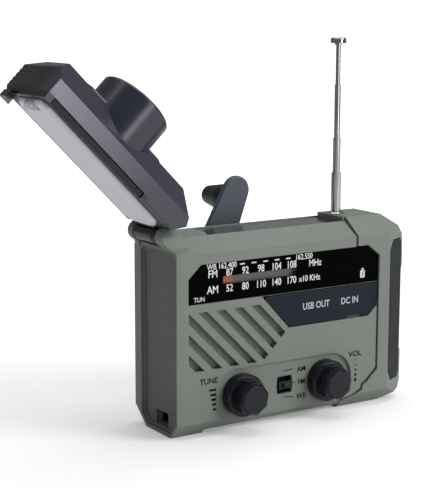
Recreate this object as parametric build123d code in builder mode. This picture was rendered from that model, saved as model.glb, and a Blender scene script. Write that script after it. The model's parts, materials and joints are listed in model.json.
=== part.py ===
"""Emergency radio: crank generator, solar panel, telescopic antenna and a flip-up lamp head.

Row frame, in millimetres: +X runs to the right along the body, +Y from its front to its back,
+Z up. The origin is the centre of the body's footprint on the plane of its feet.
Most outlines are drawn from the body's front, left, bottom corner.
"""

import math
import os

from build123d import *

os.makedirs("parts", exist_ok=True)

# ---- driving dimensions -------------------------------------------------------------
LENGTH = 113.0
DEPTH = 33.0
HEIGHT = 77.0
LEFT = -LENGTH / 2
FRONT = -DEPTH / 2

SEAM_Y = 28.0            # where the front and rear casings meet
CAP_X = 96.2             # where the casings end and the end cap starts
CAP_RISE = 1.5           # how far the end cap stands above the casings
CAP_PROUD = 0.6          # how far it stands in front of them
GAP = 0.3                # half of the gap along the end cap's seam
CORNER_DEPTH = 9.0       # how deep the end cap's corner above the window goes
WALL = 2.6               # front wall
CAVITY_LEFT = 4.6
CAVITY_FLOOR = 2.4
CAVITY_TOP = 72.6
CAVITY_BACK = 30.8

KNOB_Z = 14.5
TUNE_X = 29.3
VOLUME_X = 69.8
TRACK = (27.0, 71.8, 14.2)   # left end, right end and height of the track both knobs sit in
TRACK_W = 22.0
KNOB_RECESS = 1.3

WINDOW_DEPTH = 1.4
COVER_DEPTH = 1.8

HINGE_X = 0.0            # lamp hinge axis, parallel to Y
HINGE_Z = 78.0
EAR_R = 3.9
HINGE_PIN_R = 1.5
LAMP_OPEN = 135.6        # how far the lamp stands open, in degrees from folded

CRANK_X = 32.4
CRANK_Z = 50.0
CRANK_ARM = 42.8         # hub to the centre of the arm's round end
CRANK_LEAN = 66.0        # angle of the arm above +X
ARM_Y = 35.4

ANTENNA_X = 89.2
ANTENNA_Y = 20.5
SLEEVE_R = 2.7
COLLAR_TOP = 79.3

SPEAKER_X = 30.0
SPEAKER_Z = 39.6

MODULE = 0.8
WHEEL_TEETH = 36
PINION_TEETH = 12
GEAR_CENTRES = MODULE * (WHEEL_TEETH + PINION_TEETH) / 2
STEP_ANGLE = -30.0       # from the crank's axis to the step gear's
STEP_X = CRANK_X + GEAR_CENTRES * math.cos(math.radians(STEP_ANGLE))
STEP_Z = CRANK_Z + GEAR_CENTRES * math.sin(math.radians(STEP_ANGLE))
ROTOR_X = STEP_X + GEAR_CENTRES
ROTOR_Z = STEP_Z
SHAFT_PLAY = 0.04        # radial clearance of every running fit


# ---- planes ---------------------------------------------------------------------------
def front(depth=0.0):
    """Parallel to the front face; local x runs right, local y up, and it faces forwards."""
    return Plane(origin=(LEFT, FRONT + depth, 0), x_dir=(1, 0, 0), z_dir=(0, -1, 0))


def level(height):
    """Horizontal; local x runs right, local y to the back."""
    return Plane(origin=(LEFT, FRONT, height), x_dir=(1, 0, 0), z_dir=(0, 0, 1))


def across(distance):
    """Square to the length; local x runs to the back, local y up, and it faces right."""
    return Plane(origin=(LEFT + distance, FRONT, 0), x_dir=(0, 1, 0), z_dir=(1, 0, 0))


TURN = math.radians(LAMP_OPEN)
LAMP_OUT = Vector(-math.cos(TURN), 0, math.sin(TURN))
LAMP_UP = Vector(math.sin(TURN), 0, math.cos(TURN))
LAMP_FOOT = Vector(LEFT + HINGE_X, FRONT, HINGE_Z) - LAMP_UP * HINGE_Z


def lamp_side(depth=0.0):
    """Side view of the lamp head: local x is the distance out of the body's left face when
    folded, local y the height above the feet when folded. It faces the back."""
    return Plane(origin=LAMP_FOOT + Vector(0, depth, 0), x_dir=LAMP_OUT, z_dir=(0, 1, 0))


def lamp_face(out=0.0):
    """Parallel to the lamp's faces: local x is the folded height, local y to the back."""
    return Plane(origin=LAMP_FOOT + LAMP_OUT * out, x_dir=LAMP_UP, z_dir=LAMP_OUT)


def lamp_section(height=0.0):
    """Square to the lamp's length: local x is the distance out, local y is minus depth."""
    return Plane(origin=LAMP_FOOT + LAMP_UP * height, x_dir=LAMP_OUT, z_dir=LAMP_UP)


# ---- outlines -------------------------------------------------------------------------
BODY_PROFILE = [(0, 5.8), (0, 72), (10, HEIGHT), (28, HEIGHT), (DEPTH, 72), (DEPTH, 7.4),
                (24.4, 0), (5.6, 0)]
CAP_PROFILE = [(-CAP_PROUD, 6.2), (-CAP_PROUD, 72.4), (10, HEIGHT + CAP_RISE),
               (28, HEIGHT + CAP_RISE), (DEPTH, 73), (DEPTH, 7.4), (24.4, 0), (5.4, 0)]
CAP_OUTLINE = [(79, 0), (101, 0), (111.5, 4), (LENGTH, 8), (LENGTH, 62), (112.3, 70.4),
               (104.6, HEIGHT + CAP_RISE), (84, HEIGHT + CAP_RISE)]
BEVEL_START = (101.4, -CAP_PROUD)
BEVEL_END = (LENGTH, 5.2)
CAP_PLAN = [(79, -CAP_PROUD), BEVEL_START, BEVEL_END, (LENGTH, 27), (104, DEPTH), (79, DEPTH)]
CAVITY_PROFILE = [(WALL, 6.6), (WALL, 70.4), (9, CAVITY_TOP), (28, CAVITY_TOP),
                  (CAVITY_BACK, 70), (CAVITY_BACK, 8.6), (23.6, CAVITY_FLOOR), (6.4, CAVITY_FLOOR)]
CAVITY_PLAN = [(CAVITY_LEFT, WALL), (101, WALL), (110.2, 7.8), (110.2, 26), (103, CAVITY_BACK),
               (CAVITY_LEFT, CAVITY_BACK)]
CAVITY_OUTLINE = [(CAVITY_LEFT, CAVITY_FLOOR), (104, CAVITY_FLOOR), (110.2, 6), (110.2, 64),
                  (104, CAVITY_TOP), (CAVITY_LEFT, CAVITY_TOP)]

WINDOW = [(4.8, 52.6), (4.8, 62.6), (10.5, 67.8), (90.2, 67.8), (96.1, 63.4), (96.1, 52.6)]
COVER = [(38.6, 52.3), (96.1, 52.3), (96.1, 43.2), (91.2, 38.6), (88.4, 38.6), (87.2, 39.4),
         (81.0, 39.4), (79.8, 38.6), (51.3, 38.6)]
COVER_RECESS = [(38.6, 52.3), (98.4, 52.3), (98.4, 43.2), (96.1, 43.2), (91.2, 38.6), (51.3, 38.6)]
INSET = [(1.2, 6.6), (1.2, 70.4), (3.0, 72.4), (26.4, 72.4), (SEAM_Y, 70.6), (SEAM_Y, 4.9), (24.0, 1.4),
         (6.0, 1.4)]
SOLAR_TRAY = [(19.4, 10.4), (22.4, 16.5), (22.4, 27.2), (85.3, 27.2), (85.3, 10.4)]
SCREWS = [(8.2, 8.5), (8.2, 68.2), (79.0, 68.2), (83.2, 27.0)]


def prism(plane, points, amount, mode=Mode.ADD):
    """A straight prism on a plane, added to the part being built."""
    with BuildSketch(plane) as section:
        with BuildLine():
            Polyline(*points, close=True)
        make_face()
    extrude(section.sketch, amount=amount, mode=mode)


def rod(plane, x, y, radius, amount, mode=Mode.ADD):
    """A round bar that starts on a plane, added to the part being built."""
    with BuildSketch(plane) as section:
        with Locations((x, y)):
            Circle(radius)
    extrude(section.sketch, amount=amount, mode=mode)


def block(plane, x0, y0, x1, y1, amount, mode=Mode.ADD):
    """A rectangular block between two corners on a plane, added to the part being built."""
    with BuildSketch(plane) as section:
        with Locations(((x0 + x1) / 2, (y0 + y1) / 2)):
            Rectangle(x1 - x0, y1 - y0)
    extrude(section.sketch, amount=amount, mode=mode)


def shrunk(points, by):
    """An outline with every side moved in by a fit allowance, or out if it is negative."""
    area = sum(p[0] * q[1] - q[0] * p[1] for p, q in zip(points, points[1:] + points[:1]))
    side = by if area > 0 else -by
    result = []
    for before, here, after in zip(points[-1:] + points[:-1], points, points[1:] + points[:1]):
        along = (Vector(*here) - Vector(*before)).normalized()
        ahead = (Vector(*after) - Vector(*here)).normalized()
        corner = Vector(-along.Y - ahead.Y, along.X + ahead.X).normalized()
        reach = side / (corner.Y * along.X - corner.X * along.Y)
        result.append((here[0] + corner.X * reach, here[1] + corner.Y * reach))
    return result


# ---- casings --------------------------------------------------------------------------
with BuildPart() as cavity:
    prism(across(0), CAVITY_PROFILE, LENGTH)
    prism(front(0), CAVITY_OUTLINE, -DEPTH, Mode.INTERSECT)
    prism(level(0), CAVITY_PLAN, HEIGHT, Mode.INTERSECT)


def seam_region(gap):
    """The space the end cap takes, grown by a gap: the end, an arm over the top bevel and an
    arm under the front edge."""
    prism(front(-5), [(CAP_X - gap, 15.5), (CAP_X - gap, 100), (140, 100), (140, 15.5)], -45)
    prism(front(-5), [(79.2 - gap, -5), (79.2 - gap, 3.6 + gap / 2), (88.3 - gap, 7.4 + gap),
                      (89.0 - gap, 9.8 + gap), (90.8 - gap, 10.5 + gap), (CAP_X - gap, 15.5 + gap),
                      (140, 15.5 + gap), (140, -5)], -45)
    prism(level(68.1 - gap), [(85.0 - gap, -5), (85.0 - gap, 0.5), (86.4 - gap, 9.5),
                              (88.2 - gap, 22), (88.2 - gap, 40), (98, 40), (98, -5)], 30)
    # corner above the window's slanted end
    prism(front(-5), [(89.6 - gap, 68.6), (CAP_X - gap, 63.6 - gap), (98, 63.6 - gap), (98, 70),
                      (89.6 - gap, 70)], -(5 + CORNER_DEPTH))


with BuildPart() as cap_space:
    seam_region(0.0)

with BuildPart() as cap_clearance:
    seam_region(2 * GAP)

with BuildPart() as speaker_slots:
    for k in range(7):
        middle = (84.6 - 8.03 * k) / 2
        with BuildSketch(front(-1)):
            with Locations(Location((middle, middle, 0), 45)):
                Rectangle(2.85, 120)
        extrude(amount=-6)
    prism(front(-2), [(5, 26.4), (5, 49.4), (37.5, 49.4), (49.8, 37.1), (39.1, 26.4)], -9, Mode.INTERSECT)

with BuildPart() as front_ear:
    with BuildSketch(front(2.6)):
        with Locations((HINGE_X, HINGE_Z)):
            Circle(EAR_R)
        with BuildLine():
            Polyline((HINGE_X - 1.2, HINGE_Z - EAR_R + 0.2), (HINGE_X, HINGE_Z + EAR_R),
                     (2.6, HINGE_Z + EAR_R - 0.4), (6.4, HEIGHT), (6.4, HINGE_Z - 5),
                     (0, HINGE_Z - 5), close=True)
        make_face()
    extrude(amount=-7.4)
    prism(across(-10), [(2.6, 70), (2.6, 74.8), (4.8, 78.7), (8.6, 82.5), (10, 82.5), (10, 70)], 40,
          Mode.INTERSECT)

with BuildPart() as front_casing:
    prism(across(0), BODY_PROFILE, CAP_X)
    block(level(-1), -1, SEAM_Y, LENGTH, DEPTH + 1, HEIGHT + 5, Mode.SUBTRACT)
    add(cavity.part, mode=Mode.SUBTRACT)
    # screw posts, joined to the front wall
    for x, z in SCREWS:
        rod(front(WALL - 0.3), x, z, 3.0, -(SEAM_Y - WALL + 0.3))
        rod(front(SEAM_Y), x, z, 1.05, 12, Mode.SUBTRACT)
    # front ear of the lamp hinge
    add(front_ear.part)
    prism(front(9), [(0, 72), (0, HEIGHT), (HINGE_X + 6.4, HEIGHT), (6.4, 72)], -1)
    # room for the lamp's hinge barrel and for the collar
    rod(front(10), HINGE_X, HINGE_Z, EAR_R + 0.3, -(SEAM_Y - 10), Mode.SUBTRACT)
    rod(front(6.4), HINGE_X, HINGE_Z, HINGE_PIN_R, -SEAM_Y, Mode.SUBTRACT)
    # ridge between the solar tray and the end cap
    prism(level(HEIGHT - 0.5), [(85.3, 10.4), (90, 10.4), (90, SEAM_Y), (85.3, SEAM_Y)], 0.5 + CAP_RISE)
    add(cap_clearance.part, mode=Mode.SUBTRACT)
    # eased left edge and recesses of the front face
    prism(level(-1), [(-1, -1), (3.4, -1), (3.4, 0), (0, 0.5), (-1, 0.5)], 90, Mode.SUBTRACT)
    prism(front(-1), WINDOW[:4] + [(98, 63), (98, 52.6)], -(1 + WINDOW_DEPTH), Mode.SUBTRACT)
    prism(front(-1), shrunk(COVER_RECESS, -0.2), -(1 + COVER_DEPTH), Mode.SUBTRACT)
    block(front(0.5), 16, 57.4, 62, 65.6, -5, Mode.SUBTRACT)
    with BuildSketch(front(-1)):
        with Locations(((TRACK[0] + TRACK[1]) / 2, TRACK[2])):
            SlotCenterToCenter(TRACK[1] - TRACK[0], TRACK_W)
    extrude(amount=-(1 + KNOB_RECESS), mode=Mode.SUBTRACT)
    for x in (TUNE_X, VOLUME_X):
        rod(front(0), x, KNOB_Z, 3.3, -5, Mode.SUBTRACT)
    with BuildSketch(front(0)) as switch_hole:
        with Locations((50.3, KNOB_Z + 0.5)):
            RectangleRounded(7.2, 7.2, 0.8)
    extrude(switch_hole.sketch, amount=-5, mode=Mode.SUBTRACT)
    # slanted speaker slots inside one outline
    add(speaker_slots.part, mode=Mode.SUBTRACT)
    # holes for the sockets
    block(front(0), 58.0, 42.3, 71.4, 48.5, -6, Mode.SUBTRACT)
    rod(front(0), 81.6, 45.4, 4.2, -6, Mode.SUBTRACT)
    # top: solar tray and antenna hole; left side: inset and latch slot
    prism(level(HEIGHT + 1), SOLAR_TRAY, -2.9, Mode.SUBTRACT)
    rod(level(HEIGHT + 5), ANTENNA_X, ANTENNA_Y, SLEEVE_R + 0.1, -12, Mode.SUBTRACT)
    prism(across(-1), INSET, 3.8, Mode.SUBTRACT)
    block(across(0), 10.0, 3.0, 19.0, 8.3, 8, Mode.SUBTRACT)
    # relief under the front edge, between the feet
    prism(across(14.0), [(-1, -1), (-1, 1.9), (5.6, 1.9), (6.4, 1.2), (9.5, 1.2), (9.5, -1)], 65.0,
          Mode.SUBTRACT)
front_casing.part.label = "front_casing"
export_step(front_casing.part, "parts/front_casing.step")

with BuildPart() as rear_casing:
    prism(across(0), BODY_PROFILE, CAP_X)
    block(level(-1), -1, -1, LENGTH, SEAM_Y, HEIGHT + 5, Mode.SUBTRACT)
    add(cavity.part, mode=Mode.SUBTRACT)
    # rear ear of the hinge
    with BuildSketch(front(SEAM_Y)):
        with Locations((HINGE_X, HINGE_Z)):
            Circle(EAR_R)
        with BuildLine():
            Polyline((-1.2, HINGE_Z - EAR_R + 0.2), (0, HINGE_Z + EAR_R), (2.6, 81.4),
                     (6.4, HEIGHT), (6.4, 71), (0, 71), close=True)
        make_face()
    extrude(amount=-3.2)
    rod(front(0), HINGE_X, HINGE_Z, HINGE_PIN_R, -31, Mode.SUBTRACT)
    # boss and bearing of the crank shaft, seats of the step axle
    rod(front(CAVITY_BACK), CRANK_X, CRANK_Z, 11.0, -(35.0 - CAVITY_BACK))
    rod(front(0), CRANK_X, CRANK_Z, 2.5 + SHAFT_PLAY, -DEPTH - 4, Mode.SUBTRACT)
    rod(front(0), STEP_X, STEP_Z, 1.0, -31.8, Mode.SUBTRACT)
    for x, z in SCREWS:
        rod(front(SEAM_Y), x, z, 3.0, -(CAVITY_BACK - SEAM_Y + 0.3))
        rod(front(SEAM_Y - 1), x, z, 1.3, -9, Mode.SUBTRACT)
        rod(front(DEPTH - 1.8), x, z, 2.5, -4, Mode.SUBTRACT)
    add(cap_clearance.part, mode=Mode.SUBTRACT)
rear_casing.part.label = "rear_casing"
export_step(rear_casing.part, "parts/rear_casing.step")

bevel_angle = math.degrees(math.atan2(BEVEL_END[1] - BEVEL_START[1], BEVEL_END[0] - BEVEL_START[0]))
bevel_x = (math.cos(math.radians(bevel_angle)), math.sin(math.radians(bevel_angle)), 0)
bevel_out = (bevel_x[1], -bevel_x[0], 0)
BEVEL = Plane(origin=(LEFT + BEVEL_START[0], FRONT + BEVEL_START[1], 0), x_dir=bevel_x, z_dir=bevel_out)
STRIPE = [(0.6, 13.4), (0.6, 64.8), (3.4, 68.9), (10.4, 68.9), (11.8, 66.9), (11.8, 11), (10.4, 8.8),
          (3.4, 8.8)]

with BuildPart() as end_cap:
    prism(across(60), CAP_PROFILE, 60)
    prism(front(-5), CAP_OUTLINE, -45, Mode.INTERSECT)
    prism(level(-5), CAP_PLAN, 90, Mode.INTERSECT)
    add(cap_space.part, mode=Mode.INTERSECT)
    add(cavity.part, mode=Mode.SUBTRACT)
    prism(BEVEL, STRIPE, -1.0, Mode.SUBTRACT)
    # finger grip in the end, the antenna's hole, and room for the window and the cover
    prism(front(-5), [(LENGTH - 0.9, 21.2), (LENGTH - 0.9, 55.0), (LENGTH + 1, 59.0),
                      (LENGTH + 1, 19.3)], -45, Mode.SUBTRACT)
    rod(level(HEIGHT + 5), ANTENNA_X, ANTENNA_Y, SLEEVE_R + 0.1, -12, Mode.SUBTRACT)
    block(front(-0.05), 80, 40, CAP_X + 0.1, 63.4, -4, Mode.SUBTRACT)
end_cap.part.label = "end_cap"
export_step(end_cap.part, "parts/end_cap.step")

with BuildPart() as end_cap_inlay:
    prism(BEVEL, shrunk(STRIPE, 0.12), -1.0)
end_cap_inlay.part.label = "end_cap_inlay"
export_step(end_cap_inlay.part, "parts/end_cap_inlay.step")

with BuildPart() as side_panel:
    prism(across(0.9), shrunk(INSET, 0.12), 1.9)
    prism(across(0), shrunk(INSET, 1.5), 1.6, Mode.SUBTRACT)
    block(across(0), 9.9, 2.9, 19.1, 8.4, 8, Mode.SUBTRACT)
side_panel.part.label = "side_panel"
export_step(side_panel.part, "parts/side_panel.step")

# ---- dial -----------------------------------------------------------------------------
SLOT_LEFT = 19.8
SLOT_RIGHT = 55.5
RAIL_Z = 60.7

with BuildPart() as dial_window:
    prism(front(0.3), shrunk(WINDOW, 0.1), -1.1)
    block(front(0), SLOT_LEFT, RAIL_Z - 1.6, SLOT_RIGHT, RAIL_Z + 1.6, -2, Mode.SUBTRACT)
dial_window.part.label = "dial_window"
export_step(dial_window.part, "parts/dial_window.step")

with BuildPart() as dial_rail:
    block(front(2.9), 14, 56.8, 56.3, RAIL_Z + 1.1, -1.0)
    for x in (15.0, 55.3):
        block(front(WALL), x - 0.9, 56.8, x + 0.9, RAIL_Z - 1, -0.3)
dial_rail.part.label = "dial_rail"
export_step(dial_rail.part, "parts/dial_rail.step")

POINTER_X = 23.5
CORD_Z = 63.4
CORD_Y = 6.0
with BuildPart() as dial_pointer:
    block(front(1.7), POINTER_X - 2.1, RAIL_Z - 1.3, POINTER_X + 2.1, CORD_Z + 0.9, -0.9)
    block(front(1.7), POINTER_X - 1.4, CORD_Z - 0.9, POINTER_X + 1.4, CORD_Z + 0.9, -3.6)
dial_pointer.part.label = "dial_pointer"
export_step(dial_pointer.part, "parts/dial_pointer.step")

DRUM_R = 9.25            # to the middle of the cord
GUIDE_R = 3.0
CORD_T = 0.5
GUIDES = [(8.6, CORD_Z - GUIDE_R), (60.0, CORD_Z - GUIDE_R)]


def cord_hull(grow):
    """The area inside the dial cord's loop round the drum and the two guides."""
    with BuildSketch(front(CORD_Y - CORD_T / 2)) as hull:
        with Locations((TUNE_X, KNOB_Z)):
            Circle(DRUM_R + grow)
        with Locations(*GUIDES):
            Circle(GUIDE_R + grow)
        make_hull()
    return hull.sketch


with BuildPart() as dial_cord:
    extrude(cord_hull(CORD_T / 2), amount=-CORD_T)
    extrude(cord_hull(-CORD_T / 2), amount=-CORD_T, mode=Mode.SUBTRACT)
dial_cord.part.label = "dial_cord"
export_step(dial_cord.part, "parts/dial_cord.step")

with BuildPart() as cord_guides:
    for x, z in GUIDES:
        rod(front(WALL), x, z, GUIDE_R - CORD_T / 2 - 0.02, -4.6)
        rod(front(WALL), x, z, GUIDE_R + 0.6, -(CORD_Y - WALL - 0.5))
        rod(front(CORD_Y + 0.5), x, z, GUIDE_R + 0.6, -0.7)
cord_guides.part.label = "cord_guides"
export_step(cord_guides.part, "parts/cord_guides.step")

# ---- knobs, their shafts and what they turn -----------------------------------------
SKIRT_R = 8.5
KNOB_BACK = KNOB_RECESS - 0.35
KNOB_REACH = 9.7


def knob(x):
    """A skirted knob with an eight-sided grip, pressed on a 6 mm shaft."""
    rod(front(KNOB_BACK), x, KNOB_Z, SKIRT_R, KNOB_BACK + 3.6)
    chamfer(faces().sort_by(Axis.Y)[0].edges(), 0.8)
    with BuildSketch(front(-3.0)) as grip:
        with Locations(Location((x, KNOB_Z, 0), 12)):
            RegularPolygon(6.7, 8)
    extrude(grip.sketch, amount=KNOB_REACH - 3.0)
    chamfer(faces().sort_by(Axis.Y)[0].edges(), 1.0)
    rod(front(KNOB_BACK), x, KNOB_Z, 3.0, 7.0, Mode.SUBTRACT)


with BuildPart() as tuning_knob:
    knob(TUNE_X)
tuning_knob.part.label = "tuning_knob"
export_step(tuning_knob.part, "parts/tuning_knob.step")

with BuildPart() as volume_knob:
    knob(VOLUME_X)
volume_knob.part.label = "volume_knob"
export_step(volume_knob.part, "parts/volume_knob.step")

with BuildPart() as tuning_shaft:
    rod(front(KNOB_BACK), TUNE_X, KNOB_Z, 3.0, 7.0)
    rod(front(KNOB_BACK), TUNE_X, KNOB_Z, 3.0, -(7.2 - KNOB_BACK))
    rod(front(7.2), TUNE_X, KNOB_Z, 1.5, -1.6)
tuning_shaft.part.label = "tuning_shaft"
export_step(tuning_shaft.part, "parts/tuning_shaft.step")

with BuildPart() as dial_drum:
    rod(front(4.9), TUNE_X, KNOB_Z, DRUM_R + 0.4, -0.7)
    rod(front(4.9), TUNE_X, KNOB_Z, DRUM_R - CORD_T / 2 - 0.06, -2.2)
    rod(front(6.5), TUNE_X, KNOB_Z, DRUM_R + 0.4, -0.6)
    rod(front(0), TUNE_X, KNOB_Z, 3.0, -20, Mode.SUBTRACT)
dial_drum.part.label = "dial_drum"
export_step(dial_drum.part, "parts/dial_drum.step")

with BuildPart() as tuning_capacitor:
    block(front(7.6), TUNE_X - 10, KNOB_Z - 9.5, TUNE_X + 10, KNOB_Z + 9.5, -4.2)
    rod(front(0), TUNE_X, KNOB_Z, 1.5 + SHAFT_PLAY, -9.2, Mode.SUBTRACT)
tuning_capacitor.part.label = "tuning_capacitor"
export_step(tuning_capacitor.part, "parts/tuning_capacitor.step")

with BuildPart() as volume_shaft:
    rod(front(KNOB_BACK), VOLUME_X, KNOB_Z, 3.0, 7.0)
    rod(front(KNOB_BACK), VOLUME_X, KNOB_Z, 3.0, -(8.0 - KNOB_BACK))
volume_shaft.part.label = "volume_shaft"
export_step(volume_shaft.part, "parts/volume_shaft.step")

with BuildPart() as volume_pot:
    rod(front(4.4), VOLUME_X, KNOB_Z, 8.0, -6.6)
    rod(front(0), VOLUME_X, KNOB_Z, 3.0 + SHAFT_PLAY, -8.2, Mode.SUBTRACT)
volume_pot.part.label = "volume_pot"
export_step(volume_pot.part, "parts/volume_pot.step")

with BuildPart() as band_slider:
    block(front(0.3), 47.0, 13.45, 53.6, 16.55, -4.0)
    block(front(-0.8), 48.8, 14.1, 51.8, 15.9, -1.2)
    fillet(faces().sort_by(Axis.Y)[0].edges(), 0.35)
band_slider.part.label = "band_slider"
export_step(band_slider.part, "parts/band_slider.step")

with BuildPart() as band_switch:
    block(front(4.5), 44.0, 7.5, 56.0, 22.3, -5.5)
band_switch.part.label = "band_switch"
export_step(band_switch.part, "parts/band_switch.step")

# ---- sockets and their cover ---------------------------------------------------------
SOCKET_Z = 45.4
COVER_R = 0.7
COVER_HINGE = (0.9, 51.45)       # depth and height of the axis the cover flips about
USB_X = 64.7
DC_X = 81.6

with BuildPart() as port_cover:
    prism(front(0.2), shrunk(COVER, 0.15), -2 * COVER_R)
    # round upper edge that it flips about
    block(front(0), 30, COVER_HINGE[1], LENGTH, 60, -3, Mode.SUBTRACT)
    block(front(0), 30, COVER_HINGE[1] - 1.5, 40.3, 60, -3, Mode.SUBTRACT)
    rod(across(40.3), COVER_HINGE[0], COVER_HINGE[1], COVER_R, 55.5)
port_cover.part.label = "port_cover"
export_step(port_cover.part, "parts/port_cover.step")

with BuildPart() as usb_socket:
    block(front(2.0), USB_X - 6.55, SOCKET_Z - 2.86, USB_X + 6.55, SOCKET_Z + 2.86, -13.6)
    block(front(2.0), USB_X - 6.25, SOCKET_Z - 2.56, USB_X + 6.25, SOCKET_Z + 2.56, -11.0,
          Mode.SUBTRACT)
    block(front(4.0), USB_X - 5.7, SOCKET_Z + 0.1, USB_X + 5.7, SOCKET_Z + 1.94, -9.2)
usb_socket.part.label = "usb_socket"
export_step(usb_socket.part, "parts/usb_socket.step")

with BuildPart() as dc_socket:
    block(front(3.0), DC_X - 4.5, SOCKET_Z - 4.5, DC_X + 4.5, SOCKET_Z + 4.5, -12.6)
    rod(front(3.0), DC_X, SOCKET_Z, 4.0, 0.9)
    rod(front(2.0), DC_X, SOCKET_Z, 2.9, -9.6, Mode.SUBTRACT)
    rod(front(3.4), DC_X, SOCKET_Z, 0.65, -9.0)
dc_socket.part.label = "dc_socket"
export_step(dc_socket.part, "parts/dc_socket.step")

# ---- speaker --------------------------------------------------------------------------
with BuildPart() as speaker_mesh:
    block(front(WALL), 5.2, 25.4, 50.6, 50.4, -0.5)
speaker_mesh.part.label = "speaker_mesh"
export_step(speaker_mesh.part, "parts/speaker_mesh.step")


def ring_profile(x, z, points):
    """A part turned about an axis along Y through x, z: points are (radius, depth)."""
    axis = Plane(origin=(LEFT + x, FRONT, z), x_dir=(1, 0, 0), z_dir=(0, 0, 1))
    with BuildSketch(axis) as section:
        with BuildLine():
            Polyline(*points, close=True)
        make_face()
    revolve(section.sketch, axis=Axis((LEFT + x, FRONT, z), (0, 1, 0)))


with BuildPart() as speaker_frame:
    ring_profile(SPEAKER_X, SPEAKER_Z, [(13.6, 3.3), (15.4, 3.3), (15.4, 4.7), (10.5, 9.9), (10.5, 14.9),
                                        (0, 14.9), (0, 13.4), (6.0, 13.4), (6.0, 9.6), (8.6, 9.6),
                                        (13.6, 4.9)])
speaker_frame.part.label = "speaker_frame"
export_step(speaker_frame.part, "parts/speaker_frame.step")

with BuildPart() as speaker_cone:
    ring_profile(SPEAKER_X, SPEAKER_Z, [(0, 7.2), (4.2, 8.0), (13.3, 4.2), (13.3, 4.8), (4.4, 8.7),
                                        (4.4, 12.6), (0, 12.6)])
speaker_cone.part.label = "speaker_cone"
export_step(speaker_cone.part, "parts/speaker_cone.step")

# ---- boards, battery, solar panel ---------------------------------------------------
with BuildPart() as main_board:
    block(front(15.7), 12, 24, 80, 64, -1.3)
    for x, z, w, h in ((56, 56, 9, 9), (72, 58, 6, 4), (20, 58, 8, 5)):
        block(front(17.0), x - w / 2, z - h / 2, x + w / 2, z + h / 2, -0.8)
main_board.part.label = "main_board"
export_step(main_board.part, "parts/main_board.step")

BATTERY_Y = 21.2
BATTERY_Z = 12.4
BATTERY_R = 9.1
with BuildPart() as battery_cell:
    rod(across(18.5), BATTERY_Y, BATTERY_Z, BATTERY_R, 65.0)
    rod(across(83.0), BATTERY_Y, BATTERY_Z, 3.2, 1.2)
battery_cell.part.label = "battery_cell"
export_step(battery_cell.part, "parts/battery_cell.step")

with BuildPart() as battery_cradle:
    for x in (16.9, 84.5):
        block(across(x), 14.5, CAVITY_FLOOR, 23.0, 20.0, 1.3)
    block(level(CAVITY_FLOOR), 16.9, 19.0, 85.8, 22.0, 0.7)
battery_cradle.part.label = "battery_cradle"
export_step(battery_cradle.part, "parts/battery_cradle.step")

with BuildPart() as solar_panel:
    prism(level(HEIGHT - 1.9), shrunk(SOLAR_TRAY, 0.2), 1.5)
solar_panel.part.label = "solar_panel"
export_step(solar_panel.part, "parts/solar_panel.step")

# ---- antenna --------------------------------------------------------------------------
SLEEVE_BORE = 2.16
SECTIONS = [              # outer radius, bore radius, length, top
    (2.10, 1.67, 62.0, 95.6),
    (1.62, 1.30, 60.0, 110.0),
    (1.25, 1.00, 58.0, 132.0),
    (0.95, 0.0, 56.0, 148.2),
]

with BuildPart() as antenna_sleeve:
    rod(level(8.0), ANTENNA_X, ANTENNA_Y, SLEEVE_R, COLLAR_TOP - 8.0)
    rod(level(HEIGHT + CAP_RISE), ANTENNA_X, ANTENNA_Y, SLEEVE_R + 0.9, COLLAR_TOP - HEIGHT - CAP_RISE)
    chamfer(faces().sort_by(Axis.Z)[-1].edges(), 0.4)
    rod(level(9.0), ANTENNA_X, ANTENNA_Y, SLEEVE_BORE, 90, Mode.SUBTRACT)
antenna_sleeve.part.label = "antenna_sleeve"
export_step(antenna_sleeve.part, "parts/antenna_sleeve.step")


def antenna_section(radius, bore, length, top):
    """One drawn tube of the antenna; the innermost is solid."""
    rod(level(top - length), ANTENNA_X, ANTENNA_Y, radius, length)
    if bore:
        rod(level(top - length - 1), ANTENNA_X, ANTENNA_Y, bore, length + 2, Mode.SUBTRACT)


with BuildPart() as antenna_section_1:
    antenna_section(*SECTIONS[0])
antenna_section_1.part.label = "antenna_section_1"
export_step(antenna_section_1.part, "parts/antenna_section_1.step")

with BuildPart() as antenna_section_2:
    antenna_section(*SECTIONS[1])
antenna_section_2.part.label = "antenna_section_2"
export_step(antenna_section_2.part, "parts/antenna_section_2.step")

with BuildPart() as antenna_section_3:
    antenna_section(*SECTIONS[2])
antenna_section_3.part.label = "antenna_section_3"
export_step(antenna_section_3.part, "parts/antenna_section_3.step")

with BuildPart() as antenna_section_4:
    antenna_section(*SECTIONS[3])
antenna_section_4.part.label = "antenna_section_4"
export_step(antenna_section_4.part, "parts/antenna_section_4.step")

TIP_BASE = SECTIONS[3][3]
with BuildPart() as antenna_tip:
    rod(level(TIP_BASE), ANTENNA_X, ANTENNA_Y, 1.5, 0.7)
    rod(level(TIP_BASE + 0.7), ANTENNA_X, ANTENNA_Y, 3.2, 2.2)
    fillet(faces().sort_by(Axis.Z)[-1].edges(), 0.6)
antenna_tip.part.label = "antenna_tip"
export_step(antenna_tip.part, "parts/antenna_tip.step")

# ---- crank, gears and generator -----------------------------------------------------
PRESSURE = math.radians(20)
ADDENDUM = 0.8 * MODULE
DEDENDUM = 1.15 * MODULE
BACKLASH = 0.24


def involute(angle):
    return math.tan(angle) - angle


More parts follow.
